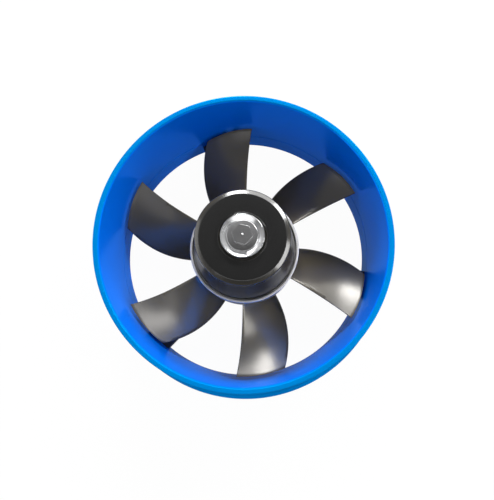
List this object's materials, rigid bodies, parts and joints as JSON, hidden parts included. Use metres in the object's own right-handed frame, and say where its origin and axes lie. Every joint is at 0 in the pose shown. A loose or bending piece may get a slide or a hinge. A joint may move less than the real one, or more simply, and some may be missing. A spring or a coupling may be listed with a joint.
{
  "type": "inline duct fan",
  "caption": "Short round duct fan with a rear wall flange, sickle-shaped twisted blades on an external-rotor motor, and a side terminal box.",
  "frame": {"origin": "centre of the rear flange's fixing circle, on the flange's rear face", "axes": "+Z along the duct's axis towards the inlet rim; +Y towards the terminal box; +X completes the right-handed set, with the inlet facing the viewer and the terminal box at the top"},
  "size_m": [0.17, 0.1735, 0.0752],
  "materials": {
    "blue_plastic": "glossy cyan-blue moulded plastic",
    "black_steel": "satin black powder coat",
    "screw_steel": "zinc-plated steel",
    "cast_aluminium": "as cast",
    "lamination_steel": "stacked laminations",
    "enamelled_copper": "enamelled copper wire",
    "black_plastic": "fine-grained black moulding",
    "spring_steel": "hardened spring steel",
    "bearing_steel": "ground bearing steel",
    "ball_steel": "polished bearing steel",
    "shaft_steel": "turned steel",
    "can_black": "gloss black lacquer",
    "chromed_boss": "bright turned and chromed",
    "polished_steel": "bright steel",
    "ring_black": "dark grey gloss",
    "blade_black": "glossy charcoal",
    "cable_rubber": "smooth black jacket",
    "seal_rubber": "soft black rubber",
    "white_plastic": "natural nylon",
    "terminal_brass": "nickel-free brass",
    "capacitor_plastic": "dark resin-filled case"
  },
  "bodies": {
    "casing": {"duct_casing": "blue_plastic", "wall_flange": "blue_plastic", "motor_carrier": "black_steel", "carrier_screws": "screw_steel", "motor_screws": "screw_steel", "stator_base": "cast_aluminium", "stator_core": "lamination_steel", "stator_windings": "enamelled_copper", "rear_cap": "black_plastic", "wave_washer": "spring_steel", "rear_bearing_outer": "bearing_steel", "front_bearing_outer": "bearing_steel", "motor_lead": "cable_rubber", "lead_grommet": "seal_rubber", "terminal_box": "black_plastic", "box_screws": "screw_steel", "terminal_block": "white_plastic", "terminal_screws": "terminal_brass", "run_capacitor": "capacitor_plastic", "box_lid": "black_plastic", "lid_screws": "screw_steel", "gland_body": "black_plastic", "gland_seal": "seal_rubber", "gland_nut": "black_plastic"},
    "rotor": {"rear_bearing_inner": "bearing_steel", "front_bearing_inner": "bearing_steel", "shaft_clip": "spring_steel", "shaft": "shaft_steel", "rotor_can": "can_black", "rotor_core": "lamination_steel", "rotor_cage": "cast_aluminium", "rotor_boss": "chromed_boss", "boss_washer": "polished_steel", "rotor_bolt": "polished_steel", "impeller_ring": "ring_black", "impeller_blades": "blade_black"},
    "rear_balls": {"rear_bearing_balls": "ball_steel"},
    "front_balls": {"front_bearing_balls": "ball_steel"}
  },
  "joints": [
    {"name": "rotor_spin", "type": "hinge", "parent": "casing", "child": "rotor", "pos_m": [0, 0, 0.03], "axis": [0, 0, -1], "continuous": true},
    {"name": "rear_balls_turn", "type": "hinge", "parent": "casing", "child": "rear_balls", "pos_m": [0, 0, 0.0105], "axis": [0, 0, -1], "continuous": true},
    {"name": "front_balls_turn", "type": "hinge", "parent": "casing", "child": "front_balls", "pos_m": [0, 0, 0.0405], "axis": [0, 0, -1], "continuous": true}
  ],
  "couplings": [
    {"joint": "rear_balls_turn", "follows": "rotor_spin", "ratio": 0.3675},
    {"joint": "front_balls_turn", "follows": "rotor_spin", "ratio": 0.3675}
  ]
}
